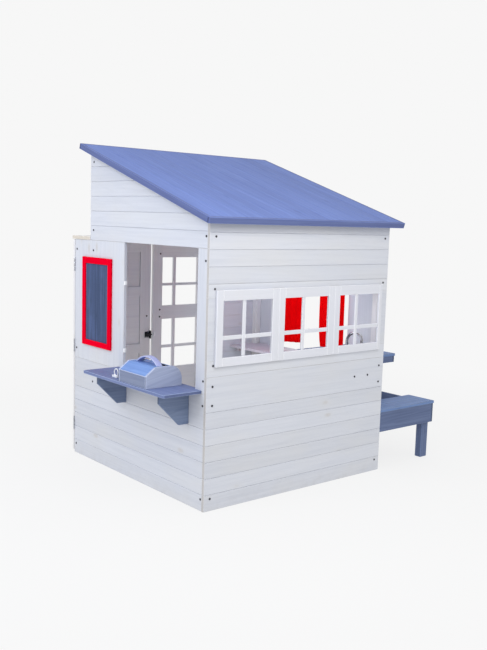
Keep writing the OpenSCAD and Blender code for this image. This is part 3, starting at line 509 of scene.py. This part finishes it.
def screw(centre, out, r=0.0032, turn=0.3):
    """Vertices and faces of a domed cross-slot screw head on a face that looks along out."""
    out = Vector(out).normalized()
    side = out.orthogonal().normalized()
    up = out.cross(side)
    rings, segs = 9, 32
    verts, faces = [], []
    for i in range(rings + 1):
        f = i / rings
        rad = r * (1 - f)
        for j in range(segs):
            a = 2 * math.pi * j / segs
            x, y = rad * math.cos(a), rad * math.sin(a)
            cx, cy = x * math.cos(turn) - y * math.sin(turn), x * math.sin(turn) + y * math.cos(turn)
            h = r * 0.30 * math.sqrt(max(0.0, 1 - (rad / r) ** 2 * 0.96)) + 0.0001
            slot = min(abs(cx), abs(cy)) < r * 0.17 and rad < r * 0.62
            if slot:
                h -= r * 0.34
            verts.append(Vector(centre) + side * x + up * y + out * h)
    for i in range(rings):
        for j in range(segs):
            k = (j + 1) % segs
            faces.append((i * segs + j, i * segs + k, (i + 1) * segs + k, (i + 1) * segs + j))
    base = len(verts)
    for j in range(segs):
        a = 2 * math.pi * j / segs
        verts.append(Vector(centre) + side * r * math.cos(a) + up * r * math.sin(a) - out * 0.0006)
    for j in range(segs):
        k = (j + 1) % segs
        faces.append((base + j, base + k, k, j))
    return verts, faces


def screws(name, spots, body, material):
    vs, fs = [], []
    for i, (c, out, r) in enumerate(spots):
        v, f = screw(c, out, r, 0.2 + 1.1 * i)
        n = len(vs)
        vs += v
        fs += [tuple(q + n for q in face) for face in f]
    o = mesh_object(name, vs, fs, material, False)
    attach(o, body)
    return o


low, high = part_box("chalkboard_frame")
spots = []
for y in (low.y + 0.0145, high.y - 0.0145):
    for z in (low.z + 0.013, (low.z + high.z) / 2, high.z - 0.015):
        spots.append((Vector((low.x, y, z)), (-1, 0, 0), 0.0027))
screws("chalkboard_screws", spots, "house", RED)

low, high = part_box("door_latch_body")
spots = [(Vector((x, high.y - 0.0019, z)), (0, -1, 0), 0.0021) for x in (low.x + 0.008, low.x + 0.020) for z in (low.z + 0.0092, high.z - 0.0092)]
screws("latch_screws", spots, "left_door", ZINC)



# --------------------------------------------------------------------------- curtains


def curtain(node, folds, full, seed, top, foot, hem_z, belly=0.0):
    """A gathered cotton curtain with a rod sleeve, hung and settled by simulation."""
    low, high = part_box(node)
    rlow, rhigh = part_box("curtain_rod")
    rod = Vector(((low.x + high.x) / 2, 0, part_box("curtain_rod")[1].z - 0.005))
    rod_r = 0.0061
    # edges at the rod and at the hem, and the hem's height at each edge
    top, foot = [C(0, y, 0).y for y in top], [C(0, y, 0).y for y in foot]
    hem_z = [z / 1000 for z in hem_z]
    width = top[1] - top[0]
    cut = width * full
    drop = rod.z - sum(hem_z) / 2
    cols, rows = folds * 14, 64
    r = np.random.default_rng(seed)
    phase = r.uniform(0, 6.28)
    k = 2 * math.pi * folds / width
    # amplitude that stores the spare width in the folds
    amp = 0.0
    for trial in np.linspace(0.0005, 0.02, 400):
        s = np.linspace(0, width, 800)
        if np.sum(np.hypot(np.diff(s), np.diff(trial * np.sin(k * s)))) >= cut:
            amp = trial
            break
    # even steps of cloth along the gathered line
    s = np.linspace(0, width, 4000)
    arc = np.concatenate([[0], np.cumsum(np.hypot(np.diff(s), np.diff(amp * np.sin(k * s + phase))))])
    ys = np.interp(np.linspace(0, arc[-1], cols + 1), arc, s)
    cut = arc[-1]
    profile = []  # (x offset, z, flat distance) down the back of the sleeve, over the rod, down the front
    for i in range(13):
        a = math.pi * (i / 12)
        profile.append((rod_r * math.cos(a), rod.z + rod_r * math.sin(a), rod_r * a))
    sleeve = len(profile)
    back = [(rod_r * 0.55, rod.z - 0.030, -0.030), (rod_r * 0.8, rod.z - 0.015, -0.015)]
    profile = back + profile
    start = len(profile)
    start_len = profile[-1][2]
    for i in range(1, rows + 1):
        z = rod.z - drop * i / rows
        profile.append((-rod_r + (rod_r * min(1.0, i / 5)), z, start_len + drop * i / rows))
    verts, faces, flat = [], [], []
    for i, (dx, z, run) in enumerate(profile):
        t = max(0.0, (rod.z - z) / drop) if i >= start else 0.0
        gather = min(1.0, t * 9)
        for j, y in enumerate(ys):
            fold = amp * math.sin(k * y + phase + 0.5 * math.sin(2.1 * t + seed)) * gather
            u = y / width
            yy = (top[0] + u * (top[1] - top[0])) * (1 - t) + (foot[0] + u * (foot[1] - foot[0])) * t
            yy += belly * u * u * math.sin(math.pi * t * t)
            zz = rod.z - t * (rod.z - hem_z[0] * (1 - u) - hem_z[1] * u) if i >= start else z
            verts.append((rod.x + dx + fold, yy, zz))
            flat.append((cut * j / cols, run, 0.0))
    n = cols + 1
    for i in range(len(profile) - 1):
        for j in range(cols):
            faces.append((i * n + j, i * n + j + 1, (i + 1) * n + j + 1, (i + 1) * n + j))
    o = mesh_object("curtain_cloth_" + node.split("_")[1], verts, faces, CLOTH)
    me = o.data
    pin = o.vertex_groups.new(name="pin")
    pin.add(list(range(n * (start + 2))), 1.0, "REPLACE")
    for i in range(start + 2, start + 8):
        pin.add(list(range(n * i, n * (i + 1))), 0.5 * (start + 8 - i) / 6, "REPLACE")
    mod = o.modifiers.new("cloth", "CLOTH")
    st = mod.settings
    st.quality = 6
    st.mass = 0.18
    st.tension_stiffness = st.compression_stiffness = 30
    st.shear_stiffness = 8
    st.bending_stiffness = 0.35
    st.air_damping = 2.5
    st.vertex_group_mass = "pin"
    mod.collision_settings.use_collision = False
    mod.collision_settings.use_self_collision = False
    mod.point_cache.frame_start = 1
    mod.point_cache.frame_end = 40
    rest = np.array([v.co for v in me.vertices])
    scene = bpy.context.scene
    for f in range(1, 41):
        scene.frame_set(f)
    dg = bpy.context.evaluated_depsgraph_get()
    ev = o.evaluated_get(dg).to_mesh()
    got = np.array([v.co for v in ev.vertices])
    o.evaluated_get(dg).to_mesh_clear()
    o.modifiers.remove(mod)
    move = got - rest
    size = np.linalg.norm(move, axis=1, keepdims=True)
    move *= np.minimum(1.0, 0.014 / np.maximum(size, 1e-9))
    got = rest + move
    # stays off the wall behind it
    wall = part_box("picnic_wall_lower")[0].x - 0.001
    got[:, 0] = np.minimum(got[:, 0], wall)
    got[:, 2] = np.maximum(got[:, 2], min(hem_z) - 0.004)
    me.vertices.foreach_set("co", got.astype(np.float32).ravel())
    scene.frame_set(1)
    att = me.attributes.new("flat", "FLOAT_VECTOR", "POINT")
    att.data.foreach_set("vector", np.array(flat, float).ravel())
    # bottom hem: a second layer on the back, 18 mm deep, with its fold
    co = np.array([v.co for v in me.vertices]).reshape(-1, n, 3)
    per = drop / rows
    deep = max(2, round(0.018 / per))
    strip, sf, sflat = [], [], []
    me.update()
    nrm = np.array([v.normal for v in me.vertices]).reshape(-1, n, 3)
    lastrow = co.shape[0] - 1
    for q in range(deep + 1):
        i = lastrow - q
        off = 0.0009
        for j in range(n):
            sgn = 1.0 if nrm[i, j, 0] > 0 else -1.0
            strip.append(tuple(co[i, j] + nrm[i, j] * off * sgn))
            sflat.append((cut * j / cols, q * per, 0.0))
    for q in range(deep):
        for j in range(cols):
            sf.append((q * n + j, q * n + j + 1, (q + 1) * n + j + 1, (q + 1) * n + j))
    hem = mesh_object("curtain_hem_" + node.split("_")[1], strip, sf, CLOTH)
    att = hem.data.attributes.new("flat", "FLOAT_VECTOR", "POINT")
    att.data.foreach_set("vector", np.array(sflat, float).ravel())
    for p, t in ((o, 0.0006), (hem, 0.0006)):
        so = p.modifiers.new("thickness", "SOLIDIFY")
        so.thickness = t
        so.offset = 0
    sub = o.modifiers.new("smooth", "SUBSURF")
    sub.levels = sub.render_levels = 1
    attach(o, "house")
    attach(hem, "house")
    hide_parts(node)


curtain("curtain_left", 4, 1.045, 3, (239, 414), (222, 392), (553, 554), 0.0135)
curtain("curtain_right", 4, 1.06, 11, (543, 718), (538, 716), (554, 540))


# --------------------------------------------------------------------------- stage, light, camera

g = Graph("floor_white")
r = g.vec("LENGTH", g.vec("MULTIPLY", g.coord, (1.0, 1.0, 0.0)))
near = g.span(r, 1.3, 3.4, 0.86, 1.0, smooth=True)
g.done(Base_Color=(0.80, 0.80, 0.80, 1), Roughness=0.9, Specular_IOR_Level=0.0)
glow = g.node("ShaderNodeEmission", {"Color": (0.930, 0.930, 0.930, 1), "Strength": 1.0})
both = g.node("ShaderNodeMixShader", {0: near, 1: g.bsdf.outputs[0], 2: glow.outputs[0]})
g.t.links.new(both.outputs[0], g.out.inputs["Surface"])
segs = 96
ring = [(14 * math.cos(2 * math.pi * i / segs), 14 * math.sin(2 * math.pi * i / segs), -0.0004) for i in range(segs)]
floor = mesh_object("floor", ring, [tuple(range(segs))], g.mat, False)

world = bpy.data.worlds.new("studio")
bpy.context.scene.world = world
world.use_nodes = True
bg = world.node_tree.nodes["Background"]
bg.inputs["Color"].default_value = (0.930, 0.930, 0.930, 1)
bg.inputs["Strength"].default_value = 1.0


def area(name, at, aim, size, watts, colour):
    d = bpy.data.lights.new(name, "AREA")
    d.shape = "RECTANGLE"
    d.size, d.size_y = size
    d.energy = watts
    d.color = colour
    o = bpy.data.objects.new(name, d)
    bpy.context.scene.collection.objects.link(o)
    o.location = at
    o.rotation_mode = "QUATERNION"
    o.rotation_quaternion = (Vector(aim) - Vector(at)).to_track_quat("-Z", "Y")
    return o


mid = C(530, 480, 700)
area("key", C(-1800, -3600, 3600), mid, (3.0, 2.4), 12, (1.0, 0.985, 0.97))
area("corner", C(0, -1100, 1850), C(350, 0, 850), (0.9, 0.7), 9, (1.0, 0.99, 0.98))
area("left_fill", C(-2200, 250, 2300), C(0, 450, 900), (1.4, 1.4), 31, (0.80, 0.86, 1.0))
area("top", C(500, 300, 4600), mid, (3.5, 3.5), 8, (0.96, 0.98, 1.0))

# light that has bounced about inside the cabin
for name, at, watts in (("cabin", C(330, 430, 760), 0.25), ("cabin_far", C(760, 420, 900), 0.6)):
    d = bpy.data.lights.new(name, "POINT")
    d.energy = watts
    d.shadow_soft_size = 0.16
    d.color = (0.90, 0.91, 1.0)
    o = bpy.data.objects.new(name, d)
    bpy.context.scene.collection.objects.link(o)
    o.location = at
    o.visible_camera = False
    o.visible_glossy = False

area("cabin_side", C(600, 440, 880), C(1040, 440, 760), (0.6, 0.5), 1.9, (0.90, 0.91, 1.0))
bpy.data.objects["cabin_side"].visible_camera = False
bpy.data.objects["cabin_side"].visible_glossy = False

cam_data = bpy.data.cameras.new("camera")
cam_data.sensor_width = 36.0
cam_data.lens = 46.19
cam_data.clip_start, cam_data.clip_end = 0.05, 60
cam = bpy.data.objects.new("camera", cam_data)
bpy.context.scene.collection.objects.link(cam)
right = Vector((0.77021, -0.63710, 0.02960)).normalized()
ahead = Vector((0.63523, 0.76215, -0.12490)).normalized()
up = right.cross(ahead).normalized()
right = ahead.cross(up).normalized()
m = Matrix((right, up, -ahead)).transposed().to_4x4()
m.translation = C(-1982.1, -2597.9, 1184.1)
cam.matrix_world = m
bpy.context.scene.camera = cam
bpy.context.scene.view_settings.view_transform = "Standard"
